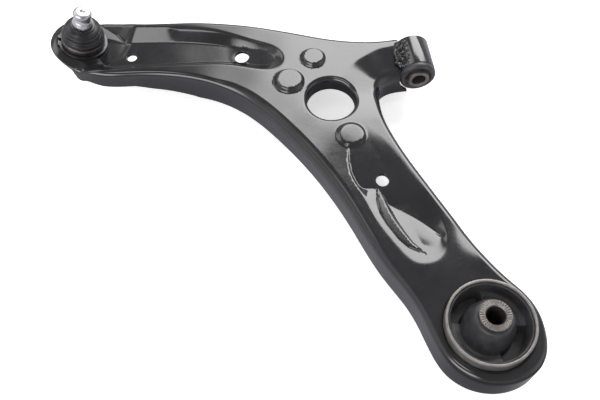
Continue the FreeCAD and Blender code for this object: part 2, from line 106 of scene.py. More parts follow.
def ball_frame():
    """Matrix from the ball joint's own axes, origin at the pad's top, to the part's, in metres."""
    z = Vector(BALL_AXIS).normalized()
    y = Vector((0, 1, 0))
    x = y.cross(z)
    turn = Matrix((x, y, z)).transposed().to_4x4()
    return Matrix.Translation(Vector(PAD) * MM) @ turn


# ---- plan outlines of the pressing

# Outer edge, counterclockwise from above. The rear end is angle in degrees, radius
REAR_END = [(190, 42.2), (215, 42.3), (240, 42.8), (265, 43.6), (290, 45), (312, 46),
            (332, 44.4), (352, 41.8), (372, 40.6), (392, 40.6)]
INNER_SIDE = [(20, 44), (2.3, 79.5), (-17.5, 127), (-38, 184), (-41.5, 203), (-40.5, 222)]
INNER_CORNER = [(-36, 236), (-24, 242)]
EYE_END = [(-8, 242.5), (12, 245), (24, 263), (12, 283), (-8, 286)]
FAR_SIDE = [(-37, 286), (-72, 293), (-112, 307.5), (-170, 325.5), (-217, 332.5), (-262, 338)]
FRONT_SIDE = [(-303, 283), (-286, 276), (-257, 272.5), (-228, 268.5), (-200, 260), (-166, 240),
              (-134, 203), (-104, 153), (-84, 106), (-66, 58), (-50.5, 26)]
TIP_RADIUS = 29.0
TIP_ARC_DEG = range(70, 230, 31)
# Lower edge of the walls: x, z
WALL_FOOT = [(-315, 12), (-314, 2), (-312, -4), (-309, -6), (-298, -6), (-258, -6), (-242, -10),
             (-224, -12.5), (-200, -16.5), (-190, -16), (60, -16)]

FRONT_CHANNEL_RIM = [(-292, 329), (-280, 332), (-253, 331), (-217, 326), (-182, 319), (-165, 311),
                     (-142, 298.5), (-127, 290), (-120, 280), (-121, 268), (-131, 261), (-142, 262),
                     (-157, 267), (-174, 272), (-197, 275), (-232, 278), (-262, 280), (-290, 284)]
FRONT_CHANNEL_FLOOR = [(-286, 320), (-270, 317), (-254, 314.5), (-238, 313), (-220, 311), (-196, 306.5),
                       (-161, 297), (-143, 290), (-131, 283), (-129, 277), (-136, 273), (-150, 276),
                       (-173, 283), (-197, 285.5), (-220, 287), (-243, 288.5), (-262, 290), (-284, 294)]
REAR_CHANNEL_RIM = [(-65, 192), (-71.5, 187), (-76, 177), (-79.5, 163), (-80.8, 149.5), (-78.6, 135.7),
                    (-74.5, 123.8), (-70.2, 106.6), (-65.3, 90.4), (-58.9, 73.5), (-51.5, 60.5), (-43.6, 54),
                    (-33, 52.5), (-22, 56), (-14.5, 66), (-13.5, 78), (-13, 91.9), (-15, 104), (-23.6, 124),
                    (-32, 145), (-40.2, 164.8), (-46, 177), (-55, 187)]
REAR_CHANNEL_FLOOR = [(-65.5, 188.5), (-70.8, 184), (-74.3, 176), (-77.8, 162.5), (-79.0, 149.5),
                      (-76.6, 137), (-71.5, 129.5), (-62, 128.5), (-56.5, 121), (-51.8, 112),
                      (-43.8, 105.8), (-36, 99.5), (-26, 88.7), (-18.5, 79.5), (-27, 93), (-34, 105),
                      (-40, 120), (-47, 140), (-54, 160), (-60, 177)]
FRONT_CHANNEL_Z = 3.6
REAR_CHANNEL_Z = 6.0
# Share of a channel's side that is rounded at its rim and at its foot
FRONT_CHANNEL_EASE = (0.35, 0.12)
REAR_CHANNEL_EASE = (0.2, 0.08)
# The front channel's rim is tighter to the left of these x, and its depth fades to the right
TIGHT_RIM_X = (-226.0, -212.0)
TIGHT_RIM_EASE = 0.22
FRONT_CHANNEL_FADE_X = (-172.0, -118.0)
FRONT_CHANNEL_FADE = 0.55
# The rear channel's depth fades out along the leg, and in part towards the leg's right edge
REAR_CHANNEL_FADE_Y = (112.0, 200.0)
REAR_CHANNEL_FADE_POWER = 2.4
REAR_CHANNEL_FADE_X = (-44.0, -16.0)
REAR_CHANNEL_FADE = 0.3
# Crest right of the rear channel: y, x. The sheet rolls off from it towards the edge, over this range of y
CREST_Y = (52, 62, 78, 92, 102, 124, 165, 190)
CREST_X = (-22, -20, -17, -13.8, -14.9, -23.6, -40, -48)
CREST_ROLL = 0.0045
CREST_WIDTH = 14.0
CREST_START_Y = (50, 88)
CREST_END_Y = (115, 180)
# Round bosses: x, y, base radius, height, flank width
BOSSES = [(-93.7, 270.4, 11.9, 3.4, 3.4), (-118.6, 246.7, 14.3, 3.9, 3.8)]
# Boss that stands half in the rear channel: x, y, base radius, top height, flank width
LEVEL_BOSS = (-73, 182, 14, 12.5, 4.8)
# Crescent rib in the rear channel: centre line x, y, half width
RIB = np.array([(-60, 126.5, 1.2), (-59.5, 117, 4.2), (-58.5, 106, 6.0), (-55.6, 94.5, 6.4), (-50, 82.5, 5.4),
                (-43.8, 73, 3.4), (-33.4, 64.3, 0.4)])
RIB_BOX = ((-75, 52), (-15, 142))
RIB_MIDDLE = (-50, 95)
RIB_TOP_Z = 10.0
RIB_FALL = (0.032, 0.024)
# Inner corner, where the top falls away to the eye: its line, depth, reach, rounding, and where it starts
CORNER_LINE = [(-50, 205), (-45.5, 224), (-37, 236), (-24, 243), (-8, 245)]
CORNER_DROP = 4.4
CORNER_REACH = 34.0
CORNER_EASE = (0.35, 0.12)
CORNER_START_Y = (196.0, 236.0)
# Slight unevenness of the flat sheet: height, length per radian along x and along y, and where it starts
WAVE = (0.10, 9.0, 11.0)
WAVE_START_X = (-240, -200)
# Plain holes: x, y, radius
DRAIN_HOLES = [(-259, 299, 4.6), (-158, 286, 6.6), (-54.5, 135.4, 5.5)]
CENTRE_HOLE = (-84.3, 222.7)
CENTRE_HOLE_RADIUS = 21.5
CENTRE_HOLE_ROLL = 4.2
CENTRE_HOLE_FOOT = -3.0
# Rolled collar round the rear sleeve: gap, roll radius, lower edge, sheet
COLLAR_GAP, COLLAR_ROLL, COLLAR_FOOT, COLLAR_SHEET = 0.02, 2.5, -12.0, 2.2
# Edge of the ball joint's pad, from its centre: along its slope, y. On the left it runs past the tip
PAD_EDGE = [(-60, -60), (-12, -60), (-8, -36), (5.7, -31.5), (19.7, -25), (34.5, -19.0), (40.0, -4.5),
            (31, 9), (18.7, 20), (12.8, 27), (6, 60), (-60, 60)]
# Beyond this distance towards the arm the pad's slope eases, over a stretch of the same size
PAD_BREAK = 10.0
PAD_FAR_SLOPE = 0.105
# Drop of the pad's left rim, and the radii between which it falls
PAD_CROWN = 2.2
PAD_CROWN_RADII = (21.0, 31.0)
# Slope of the flanks that lead from the pad up to the sheet, how soft they meet, and how far right they go
PAD_FLANK = 0.6
PAD_BLEND = 1.8
PAD_REACH = 75
PAD_DISC_RADII = (27.0, 31.0)


def closed_spline(points, spacing):
    """Points at even steps along the smooth closed curve through points."""
    knots = np.array(points, float)
    gap = np.roll(knots, -1, 0) - knots
    chord = np.linalg.norm(gap, axis=1)
    before = np.roll(chord, 1)
    here = np.arange(len(knots))
    matrix = np.zeros((len(knots), len(knots)))
    matrix[here, here - 1] = before
    matrix[here, here] = 2 * (before + chord)
    matrix[here, np.roll(here, -1)] = chord
    rate = gap / chord[:, None]
    bend = np.linalg.solve(matrix, 6 * (rate - np.roll(rate, 1, 0)))
    b = np.linspace(0, 1, 40, endpoint=False)[None, :, None]
    a = 1 - b
    curve = (a ** 3 - a) * bend[:, None] + (b ** 3 - b) * np.roll(bend, -1, 0)[:, None]
    curve *= chord[:, None, None] ** 2 / 6
    fine = (a * knots[:, None] + b * np.roll(knots, -1, 0)[:, None] + curve).reshape(-1, 2)
    fine = np.vstack([fine, fine[:1]])
    length = np.concatenate([[0], np.cumsum(np.linalg.norm(np.diff(fine, axis=0), axis=1))])
    stations = np.linspace(0, length[-1], int(round(length[-1] / spacing)), endpoint=False)
    return np.stack([np.interp(stations, length, fine[:, k]) for k in (0, 1)], 1)


def polar(radius, degrees):
    return radius * math.cos(math.radians(degrees)), radius * math.sin(math.radians(degrees))


def circle_points(radius, centre, count):
    turn = np.linspace(0, 2 * math.pi, count, endpoint=False)
    return np.stack([centre[0] + radius * np.cos(turn), centre[1] + radius * np.sin(turn)], 1)


def inside(points, loop):
    """True for each point inside a closed loop."""
    x, y = points[:, 0], points[:, 1]
    result = np.zeros(len(points), bool)
    for (x0, y0), (x1, y1) in zip(loop, np.roll(loop, -1, 0)):
        if y0 == y1:
            continue
        crossing = ((y0 > y) != (y1 > y)) & (x < (x1 - x0) * (y - y0) / (y1 - y0) + x0)
        result ^= crossing
    return result


def distance_to(points, line, closed=True, widths=None):
    """Distance from each point to a polyline, or its share of the line's half width there."""
    best = np.full(len(points), 1e9)
    ends = np.roll(line, -1, 0) if closed else line[1:]
    for i, (start, end) in enumerate(zip(line, ends)):
        along = end - start
        part = np.clip(((points - start) @ along) / (along @ along), 0, 1)
        gap = np.linalg.norm(points - start - part[:, None] * along, axis=1)
        if widths is not None:
            gap /= widths[i] + (widths[i + 1] - widths[i]) * part
        best = np.minimum(best, gap)
    return best


def smooth(value, low=0.0, high=1.0):
    t = np.clip((value - low) / (high - low), 0, 1)
    return t * t * (3 - 2 * t)


def soft_min(a, b, width):
    t = np.clip(0.5 + 0.5 * (b - a) / width, 0, 1)
    return b * (1 - t) + a * t - width * t * (1 - t)


FRONT_RIM, FRONT_FLOOR, REAR_RIM, REAR_FLOOR = (
    closed_spline(points, 2.0)
    for points in (FRONT_CHANNEL_RIM, FRONT_CHANNEL_FLOOR, REAR_CHANNEL_RIM, REAR_CHANNEL_FLOOR))


def pad_surface(points):
    """Height of the tilted flat pad that carries the ball joint, and of the facet beyond it."""
    along = points[:, 0] - PAD[0]
    near = soft_min(along, np.full(len(points), PAD_BREAK), PAD_BREAK)
    crown = PAD_CROWN * smooth(np.hypot(along, points[:, 1] - PAD[1]), *PAD_CROWN_RADII)
    crown *= 1 - smooth(along, -8, 8)
    return PAD[2] - PAD_SLOPE * near - PAD_FAR_SLOPE * (along - near) - crown


def eased(t, first, last):
    """0 to 1, straight in the middle and rounded over the first and last parts."""
    t = np.clip(t, 0, 1)
    slope = 1 / (1 - (first + last) / 2)
    low = slope * t * t / (2 * first)
    high = 1 - slope * (1 - t) ** 2 / (2 * last)
    return np.where(t < first, low, np.where(t > 1 - last, high, slope * (t - first / 2)))


def channel_sink(points, rim, floor, rim_ease, foot_ease):
    """0 at a channel's rim to 1 on its floor."""
    from_rim = distance_to(points, rim)
    from_floor = distance_to(points, floor)
    from_floor[inside(points, floor)] = 0.0
    return eased(from_rim / (from_rim + from_floor + 1e-6), rim_ease, foot_ease)


def press_channels(points, z):
    """Sink the two long channels into the sheet."""
    within = inside(points, FRONT_RIM)
    some = points[within]
    tight = TIGHT_RIM_EASE * (1 - smooth(some[:, 0], *TIGHT_RIM_X))
    sink = channel_sink(some, FRONT_RIM, FRONT_FLOOR, FRONT_CHANNEL_EASE[0] - tight, FRONT_CHANNEL_EASE[1])
    sink *= 1 - FRONT_CHANNEL_FADE * smooth(some[:, 0], *FRONT_CHANNEL_FADE_X)
    z[within] -= (TOP_Z - FRONT_CHANNEL_Z) * sink
    within = inside(points, REAR_RIM)
    some = points[within]
    sink = channel_sink(some, REAR_RIM, REAR_FLOOR, *REAR_CHANNEL_EASE)
    deep, level = REAR_CHANNEL_FADE_Y
    sink *= np.clip((level - some[:, 1]) / (level - deep), 0, 1) ** REAR_CHANNEL_FADE_POWER
    sink *= 1 - REAR_CHANNEL_FADE * smooth(some[:, 0], *REAR_CHANNEL_FADE_X)
    z[within] -= (TOP_Z - REAR_CHANNEL_Z) * sink


def roll_off(points, z):
    """Round the sheet down to the right of the rear channel and at the inner corner."""
    beyond = np.maximum(points[:, 0] - np.interp(points[:, 1], CREST_Y, CREST_X), 0.0)
    near_crest = np.minimum(beyond, CREST_WIDTH)
    roll = CREST_ROLL * (near_crest ** 2 + 2 * CREST_WIDTH * (beyond - near_crest))
    z -= roll * smooth(points[:, 1], *CREST_START_Y) * (1 - smooth(points[:, 1], *CREST_END_Y))
    corner = distance_to(points, np.array(CORNER_LINE), closed=False)
    fall = 1 - eased(corner / CORNER_REACH, *CORNER_EASE)
    z -= CORNER_DROP * fall * smooth(points[:, 1], *CORNER_START_Y)


def raise_bosses(points, z):
    for x, y, radius, rise, flank in BOSSES:
        away = np.hypot(points[:, 0] - x, points[:, 1] - y)
        z += rise * eased((radius - away) / flank, 0.3, 0.3)
    x, y, radius, top, flank = LEVEL_BOSS
    away = np.hypot(points[:, 0] - x, points[:, 1] - y)
    z += (top - z) * eased((radius - away) / flank, 0.35, 0.35)


def raise_rib(points, z):
    """Raise the crescent rib in the rear channel."""
    near = ((points > RIB_BOX[0]) & (points < RIB_BOX[1])).all(1)
    some = points[near]
    lift = 1 - smooth(distance_to(some, RIB[:, :2], False, RIB[:, 2]), 0.5, 1.0)
    top = RIB_TOP_Z - RIB_FALL[0] * (some[:, 0] - RIB_MIDDLE[0]) - RIB_FALL[1] * (some[:, 1] - RIB_MIDDLE[1])
    z[near] = z[near] + np.maximum(top - z[near], 0.0) * lift


def height(points):
    """Height of the pressing's top surface over points in plan."""
    z = np.full(len(points), TOP_Z)
    press_channels(points, z)
    roll_off(points, z)
    raise_bosses(points, z)
    deep, along, across = WAVE
    wave = np.sin(points[:, 0] / along + 1.3) * np.sin(points[:, 1] / across)
    z += deep * wave * smooth(points[:, 0], *WAVE_START_X)
    raise_rib(points, z)
    surface = pad_surface(points)
    local = np.stack([(points[:, 0] - PAD[0]) / BALL_AXIS[2], points[:, 1] - PAD[1]], 1)
    edge = np.array(PAD_EDGE, float)
    outside = distance_to(local, edge)
    outside[inside(local, edge)] = 0.0
    on_disc = 1 - smooth(np.hypot(local[:, 0], local[:, 1]), *PAD_DISC_RADII)
    disc = surface * on_disc + z * (1 - on_disc)
    z = np.where(points[:, 0] < PAD[0] - 2, -soft_min(-z, -disc, 0.6), z)
    near = points[:, 0] < PAD[0] + PAD_REACH
    z[near] = soft_min(z[near], surface[near] + PAD_FLANK * outside[near], PAD_BLEND)
    return z


# ---- the pressing's mesh

WALL_STEPS = 5
ARC_STEPS = 9
# The flat's grid, doubled where the height bends less than the limit from one step to the next
GRID = 0.75
BEND_LIMIT = 0.012
# Corner radius of a cut edge, and flat left between an edge's fold and the grid
PLAIN_EDGE = 0.45
EDGE_MARGIN = 0.25
# Fold radius of the outer edge, and how much wider it is along the left side and in the inner corner
FOLD_RADIUS = 5.5
LEFT_FOLD_EXTRA = 3.5
CORNER_FOLD_EXTRA = 3.0
# Fold radius at the ball joint's tip, the least one round the rear bush, and the flat kept beside it there
TAIL_FOLD_RADIUS = 3.6
LEAST_FOLD_RADIUS = 3.2
REAR_FLAT = 3.3
FOLD_KERNEL = np.hanning(15) / np.hanning(15).sum()


def edge_curve(x, foot, turn_z, radius, reach, end_z):
    """Wall up from its foot, a quarter turn, and the start of the flat: offset, height."""
    side = 1 if end_z > turn_z else -1
    wall = [(x, z) for z in np.linspace(foot, turn_z, WALL_STEPS, endpoint=False)]
    arc = [(x + radius * (1 - math.cos(a)), turn_z + side * radius * math.sin(a))
           for a in np.linspace(0, math.pi / 2, ARC_STEPS)]
    return np.array(wall + arc + [(reach, end_z)])


def edge_profile(radius, foot, plain, sheet):
    """Curves of the outer and the inner skin, from a fold at plain 0 to a cut edge at plain 1."""
    centre = fold_centre(radius, sheet)
    reach = centre + EDGE_MARGIN
    foot = min(foot, -centre - 0.05)
    skin = edge_curve(0, foot, -radius, radius, reach, 0)
    back = edge_curve(sheet, foot, -centre, max(radius - sheet, 0.3), reach, -sheet)
    skin_cut = edge_curve(0, -sheet / 2, -PLAIN_EDGE, PLAIN_EDGE, reach, 0)
    back_cut = edge_curve(0, -sheet / 2, PLAIN_EDGE - sheet, PLAIN_EDGE, reach, -sheet)
    return skin * (1 - plain) + skin_cut * plain, back * (1 - plain) + back_cut * plain


def fold_centre(radius, sheet):
    """Distance from an edge to the centre of its fold, kept outside the sheet's thickness."""
    return np.maximum(radius, sheet + 0.3)


def outward(loop, sign):
    tangent = np.roll(loop, -1, 0) - np.roll(loop, 1, 0)
    tangent /= np.linalg.norm(tangent, axis=1)[:, None]
    return sign * np.stack([tangent[:, 1], -tangent[:, 0]], 1)


def edge_rings(loop, away, radii, feet, plains, sheet):
    """Vertices of the outer and inner skins, ring by ring from the foot to the flat."""
    rings = WALL_STEPS + ARC_STEPS + 1
    skin = np.zeros((rings, len(loop), 3))
    back = np.zeros((rings, len(loop), 3))
    flat = height(loop - away * (fold_centre(radii, sheet) + EDGE_MARGIN)[:, None])
    for i, (point, normal) in enumerate(zip(loop, away)):
        profiles = edge_profile(radii[i], feet[i] - flat[i], plains[i], sheet)
        for out, profile in zip((skin, back), profiles):
            out[:, i, :2] = point - profile[:, :1] * normal
            out[:, i, 2] = profile[:, 1]
    for out in (skin, back):
        every = out.reshape(-1, 3)
        every[:, 2] += height(every[:, :2])
    return skin, back


def outer_fold(x, y):
    """Fold radius along the outer edge, eased from point to point."""
    radius = np.full(len(x), FOLD_RADIUS)
    left_side = smooth(-x, 48, 100) * (1 - smooth(-x, 150, 210)) * (y < 250)
    radius += LEFT_FOLD_EXTRA * left_side * (x < -20)
    radius += CORNER_FOLD_EXTRA * smooth(y, 212, 232) * (1 - smooth(y, 246, 258)) * (x > -60)
    room = np.hypot(x, y) - SLEEVE_RADIUS - REAR_FLAT
    radius = np.minimum(radius, np.maximum(room, LEAST_FOLD_RADIUS))
    tail = smooth(-x, 300, 312)
    radius = radius * (1 - tail) + TAIL_FOLD_RADIUS * tail
    half = len(FOLD_KERNEL) // 2
    return np.convolve(np.concatenate([radius[-half:], radius, radius[:half]]), FOLD_KERNEL, "valid")


def hole_loop(centre, size, count, fold, foot, plain, sheet):
    """A round hole as edge_rings arguments."""
    loop = circle_points(size, centre, count)
    return loop, outward(loop, -1), np.full(count, fold), np.full(count, foot), np.full(count, plain), sheet


def arm_loops():
    """The outer edge, the two rolled holes and the three plain holes, as edge_rings arguments."""
    rear = [polar(radius, degrees) for degrees, radius in REAR_END]
    tip = [tuple(PAD[:2] + polar(TIP_RADIUS, degrees)) for degrees in TIP_ARC_DEG]
    outer = closed_spline(rear + INNER_SIDE + INNER_CORNER + EYE_END + FAR_SIDE + tip + FRONT_SIDE, 1.8)
    x, y = outer[:, 0], outer[:, 1]
    foot_x, foot_z = np.array(WALL_FOOT, float).T
    feet = np.interp(x, foot_x, foot_z)
    plain = smooth(-x, 309.5, 315.5)
    loops = [(outer, outward(outer, 1), outer_fold(x, y), feet, plain, SHEET - 0.2)]
    rolled = ((CENTRE_HOLE, CENTRE_HOLE_RADIUS, 108, CENTRE_HOLE_ROLL, CENTRE_HOLE_FOOT, 0.0, SHEET),
              ((0, 0), SLEEVE_RADIUS + COLLAR_GAP, 156, COLLAR_ROLL, COLLAR_FOOT, 0.0, COLLAR_SHEET))
    loops += [hole_loop(*hole) for hole in rolled]
    loops += [hole_loop((x, y), r, 40, 1.0, 0.0, 1.0, SHEET) for x, y, r in DRAIN_HOLES]
    return loops


def quads(rows, columns, wrap=True, start=0):
    """Faces of a sheet of rows by columns of vertices; wrap joins the last column to the first."""
    faces = []
    for row in range(rows - 1):
        low, high = start + row * columns, start + (row + 1) * columns
        for i in range(columns if wrap else columns - 1):
            j = (i + 1) % columns
            faces.append([low + i, low + j, high + j, high + i])
    return faces


def flipped(faces):
    return [face[::-1] for face in faces]


def inside_borders(points, loops):
    """True inside the first loop and outside the others."""
    keep = inside(points, loops[0])
    for loop in loops[1:]:
        keep[keep] &= ~inside(points[keep], loop)
    return keep


def flat_grid(loops):
    """Grid points between the loops, finer where the sheet bends."""
    low, high = loops[0].min(0), loops[0].max(0)
    xs = np.arange(low[0], high[0], GRID)
    ys = np.arange(low[1], high[1], GRID)
    grid = np.stack(np.meshgrid(xs, ys), -1).reshape(-1, 2)
    keep = inside_borders(grid, loops)
    level = np.zeros(len(grid))
    level[keep] = height(grid[keep])
    level = level.reshape(len(ys), len(xs))
    bend = sum(np.roll(level, shift, axis) for axis in (0, 1) for shift in (-1, 1)) - 4 * level
    coarse = np.zeros(level.shape, bool)
    coarse[::2, ::2] = True
    keep &= (coarse | (np.abs(bend) > BEND_LIMIT)).reshape(-1)
    for loop in loops:
        keep[keep] &= distance_to(grid[keep], loop) > 0.8 * GRID
    return grid[keep]


def flat_skins(grid):
    """Vertices of the flat's outer and inner skin; the inner one is lower where the sheet slopes."""
    z = height(grid)
    step = 0.2
    slope_x = (height(grid + [step, 0]) - z) / step
    slope_y = (height(grid + [0, step]) - z) / step
    thick = SHEET * np.minimum(np.sqrt(1 + slope_x ** 2 + slope_y ** 2), 1.4)
    return [np.column_stack([grid, z]), np.column_stack([grid, z - thick])]


def build_pressing():
    """Vertices and faces of the pressed arm, both skins, closed at every edge."""
    vertices, faces, loops, plan, edges, pairs = [], [], [], [], [], []
    start = 0
    for number, arguments in enumerate(arm_loops()):
        skin, back = edge_rings(*arguments)
        rings, count = skin.shape[:2]
        vertices += [skin.reshape(-1, 3), back.reshape(-1, 3)]
        second = start + rings * count
        walls = quads(rings, count, start=start) + flipped(quads(rings, count, start=second))
        ring = [(i, (i + 1) % count) for i in range(count)]
        walls += [[start + j, start + i, second + i, second + j] for i, j in ring]
        faces += flipped(walls) if number > 0 else walls
        last = (rings - 1) * count
        base = len(plan)
        plan += [Vector(point) for point in skin[-1, :, :2]]
        edges += [(base + i, base + j) for i, j in ring]
        pairs += [(start + last + i, second + last + i) for i in range(count)]
        loops.append(skin[-1, :, :2])
        start = second + rings * count
    grid = flat_grid(loops)
    vertices += flat_skins(grid)
    pairs += [(start + i, start + len(grid) + i) for i in range(len(grid))]
    plan += [Vector(point) for point in grid]
    spots, _, triangles, origins, _, _ = delaunay_2d_cdt(plan, edges, [], 1, 1e-7)
    assert all(origins)
    spots = np.array([tuple(point) for point in spots])
    triangles = np.array(triangles)
    for corners in triangles[inside_borders(spots[triangles].mean(1), loops)]:
        outer, inner = zip(*(pairs[origins[corner][0]] for corner in corners))
        faces += [list(outer), list(inner[::-1])]
    return np.concatenate(vertices), faces


def make_piece(name, vertices, faces, material, turn=None, smooth_angle=35.0):
    """A mesh object from millimetre vertices."""
    mesh = bpy.data.meshes.new(name)
    mesh.from_pydata((np.asarray(vertices, float) * MM).tolist(), [], [list(f) for f in faces])
    mesh.validate()
    if turn is not None:
        mesh.transform(turn)
    mesh.materials.append(material)
    piece = bpy.data.objects.new(name, mesh)
    bpy.context.scene.collection.objects.link(piece)
    mesh.shade_smooth()
    if smooth_angle:
        mesh.set_sharp_from_angle(angle=math.radians(smooth_angle))
    return piece


def apply_boolean(piece, cutter):
    """Cut one mesh out of another and delete the cutter."""
    change = piece.modifiers.new("cut", "BOOLEAN")
    change.operation = "DIFFERENCE"
    change.solver = "EXACT"
    change.object = cutter
    bpy.context.view_layer.update()
    graph = bpy.context.evaluated_depsgraph_get()
    mesh = bpy.data.meshes.new_from_object(piece.evaluated_get(graph))
    piece.modifiers.clear()
    piece.data = mesh
    bpy.data.objects.remove(cutter)
    return piece


# ---- turned pieces

def rounded(profile, radius, closed=True, steps=3):
    """Profile with each corner eased by a small arc; a third number in a corner overrides the radius."""
    result = []
    count = len(profile)
    for i, corner in enumerate(profile):
        here = np.array(corner[:2], float)
        ease = corner[2] if len(corner) > 2 else radius
        if not closed and i in (0, count - 1) or ease <= 0:
            result.append(here)
            continue
        before = np.array(profile[i - 1][:2], float) - here
        after = np.array(profile[(i + 1) % count][:2], float) - here
        size_b, size_a = np.linalg.norm(before), np.linalg.norm(after)
        cut = min(ease, 0.45 * size_b, 0.45 * size_a)
        first, last = here + before / size_b * cut, here + after / size_a * cut
        for t in np.linspace(0, 1, steps + 1):
            result.append(first * (1 - t) ** 2 + 2 * here * t * (1 - t) + last * t * t)
    return np.array(result)


def spun(profile, segments=96, closed=True):
    """Vertices and faces of a profile of (radius, height) turned about +Z. A closed profile makes a ring."""
    profile = np.asarray(profile, float)
    turn = np.linspace(0, 2 * math.pi, segments, endpoint=False)
    vertices, rings = [], []
    for radius, z in profile:
        if radius < 1e-4:
            rings.append([len(vertices)] * segments)
            vertices.append((0.0, 0.0, z))
        else:
            rings.append(list(range(len(vertices), len(vertices) + segments)))
            vertices += [(radius * math.cos(a), radius * math.sin(a), z) for a in turn]
    faces = []
    last = len(rings) if closed else len(rings) - 1
    for k in range(last):
        lower, upper = rings[k], rings[(k + 1) % len(rings)]
        for i in range(segments):
            j = (i + 1) % segments
            face = list(dict.fromkeys((lower[i], lower[j], upper[j], upper[i])))
            if len(face) > 2:
                faces.append(face)
    return np.array(vertices), faces


ALONG_Y = Matrix.Rotation(-math.pi / 2, 4, "X")
ON_BALL = ball_frame()


def turned_piece(name, profile, material, turn=None, ease=0.3, segments=96, closed=True, smooth_angle=35.0):
    vertices, faces = spun(rounded(profile, ease, closed), segments, closed)
    return make_piece(name, vertices, faces, material, turn, smooth_angle)


def section(inner, outer, low, high):
    """Profile of a plain ring."""
    return [(inner, low), (outer, low), (outer, high), (inner, high)]


# ---- materials

class Nodes:
    """Short hand for building a node tree."""

    def __init__(self, tree):
        self.tree = tree

    def add(self, kind, inputs=None, **settings):
        node = self.tree.nodes.new(kind)
        for key, value in settings.items():
            setattr(node, key, value)
        for key, value in (inputs or {}).items():
            self.put(node.inputs[key], value)
        return node

    def put(self, socket, value):
        if isinstance(value, bpy.types.NodeSocket):
            self.tree.links.new(value, socket)
        else:
            socket.default_value = value

    def spread(self, value, low, high, from_low=0.3, from_high=0.7):
        return self.add("ShaderNodeMapRange", {"Value": value, "From Min": from_low, "From Max": from_high,
                                               "To Min": low, "To Max": high}).outputs["Result"]

    def math(self, operation, a, b=0.0):
        return self.add("ShaderNodeMath", {0: a, 1: b}, operation=operation).outputs[0]


class Paint(Nodes):
    """Nodes of a material, ending in its shader."""

    def __init__(self, name):
        self.material = bpy.data.materials.new(name)
        self.material.use_nodes = True
        super().__init__(self.material.node_tree)
        self.shader = self.tree.nodes["Principled BSDF"]
        self.where = self.add("ShaderNodeTexCoord").outputs["Object"]

    def set(self, **values):
        for key, value in values.items():
            self.put(self.shader.inputs[key.replace("_", " ")], value)

    def noise(self, scale, detail=3.0, rough=0.55, where=None):
        inputs = {"Vector": where or self.where, "Scale": scale, "Detail": detail, "Roughness": rough}
        return self.add("ShaderNodeTexNoise", inputs).outputs["Fac"]

    def mix(self, fac, a, b):
        node = self.add("ShaderNodeMix", data_type="RGBA")
        self.put(node.inputs["Factor"], fac)
        self.put(node.inputs["A"], (*a, 1) if isinstance(a, tuple) else a)
        self.put(node.inputs["B"], (*b, 1) if isinstance(b, tuple) else b)
        return node.outputs["Result"]

    def bump(self, relief, distance, strength=1.0, after=None):
        inputs = {"Height": relief, "Distance": distance, "Strength": strength}
        if after is not None:
            inputs["Normal"] = after
        return self.add("ShaderNodeBump", inputs).outputs["Normal"]


def black_paint():
    """Gloss black dip paint: a little orange peel, dust nibs and uneven sheen."""
    n = Paint("arm_paint")
    cloud = n.noise(45, 4)
    fine = n.noise(1500, 2)
    nib = n.add("ShaderNodeTexVoronoi", {"Vector": n.where, "Scale": 420.0}, feature="F1").outputs["Distance"]
    specks = n.spread(nib, 1.0, 0.0, 0.03, 0.12)
    base = n.mix(n.spread(cloud, 0, 1), (0.010, 0.010, 0.011), (0.018, 0.018, 0.020))
    base = n.mix(n.math("MULTIPLY", specks, 0.35), base, (0.06, 0.06, 0.062))
    n.set(Base_Color=base, IOR=1.62)
    n.set(Roughness=n.math("ADD", n.spread(cloud, 0.07, 0.12), n.spread(fine, 0.0, 0.03)))
    peel = n.bump(n.noise(260, 2), 0.00008, 0.14)
    grain = n.bump(fine, 0.00002, 0.16, peel)
    n.set(Normal=n.bump(specks, 0.00005, 0.35, grain))
    return n.material


def bare_steel(name, dark, light, rust, rough, metal=0.9):
    """Turned steel with fine rings across Z, blotches and faint rust."""
    n = Paint(name)
    blotch = n.noise(110, 5, 0.65)
    fine = n.noise(1400, 3)
    color = n.mix(n.spread(blotch, 0, 1), dark, light)
    color = n.mix(n.spread(n.noise(240, 4), 0, 0.7, 0.5, 0.75), color, rust)
    n.set(Base_Color=color, Metallic=metal)
    n.set(Roughness=n.math("ADD", n.spread(blotch, rough - 0.07, rough + 0.08), n.spread(fine, -0.04, 0.05)))
    flat = n.add("ShaderNodeMapping", {"Vector": n.where, "Scale": (0.05, 0.05, 1.0)}).outputs["Vector"]
    rings = n.noise(900.0, 2, where=flat)
    n.set(Normal=n.bump(fine, 0.00005, 0.5, n.bump(rings, 0.00005, 0.5)))
    return n.material


def rubber(name, low, high, rough):
    """Moulded black rubber with bloom and fine grain."""
    n = Paint(name)
    bloom = n.noise(160, 5, 0.6)
    fine = n.noise(2600, 2)
    n.set(Base_Color=n.mix(n.spread(bloom, 0, 1), low, high), Specular_IOR_Level=0.42)
    n.set(Roughness=n.math("ADD", n.spread(bloom, rough - 0.06, rough + 0.08), n.spread(fine, -0.03, 0.03)))
    n.set(Normal=n.bump(fine, 0.00004, 0.45, n.bump(n.noise(420, 3), 0.0001, 0.3)))
    return n.material


def smooth_finish(name, low, high, rough, metal, clouds, grain):
    """Slightly clouded finish with fine grain, for plated steel and for the seat's polymer."""
    n = Paint(name)
    cloud = n.noise(*clouds)
    n.set(Base_Color=n.mix(n.spread(cloud, 0, 1), low, high), Metallic=metal)
    n.set(Roughness=n.spread(cloud, *rough), Normal=n.bump(n.noise(grain, 2), 0.00002, 0.4))
    return n.material


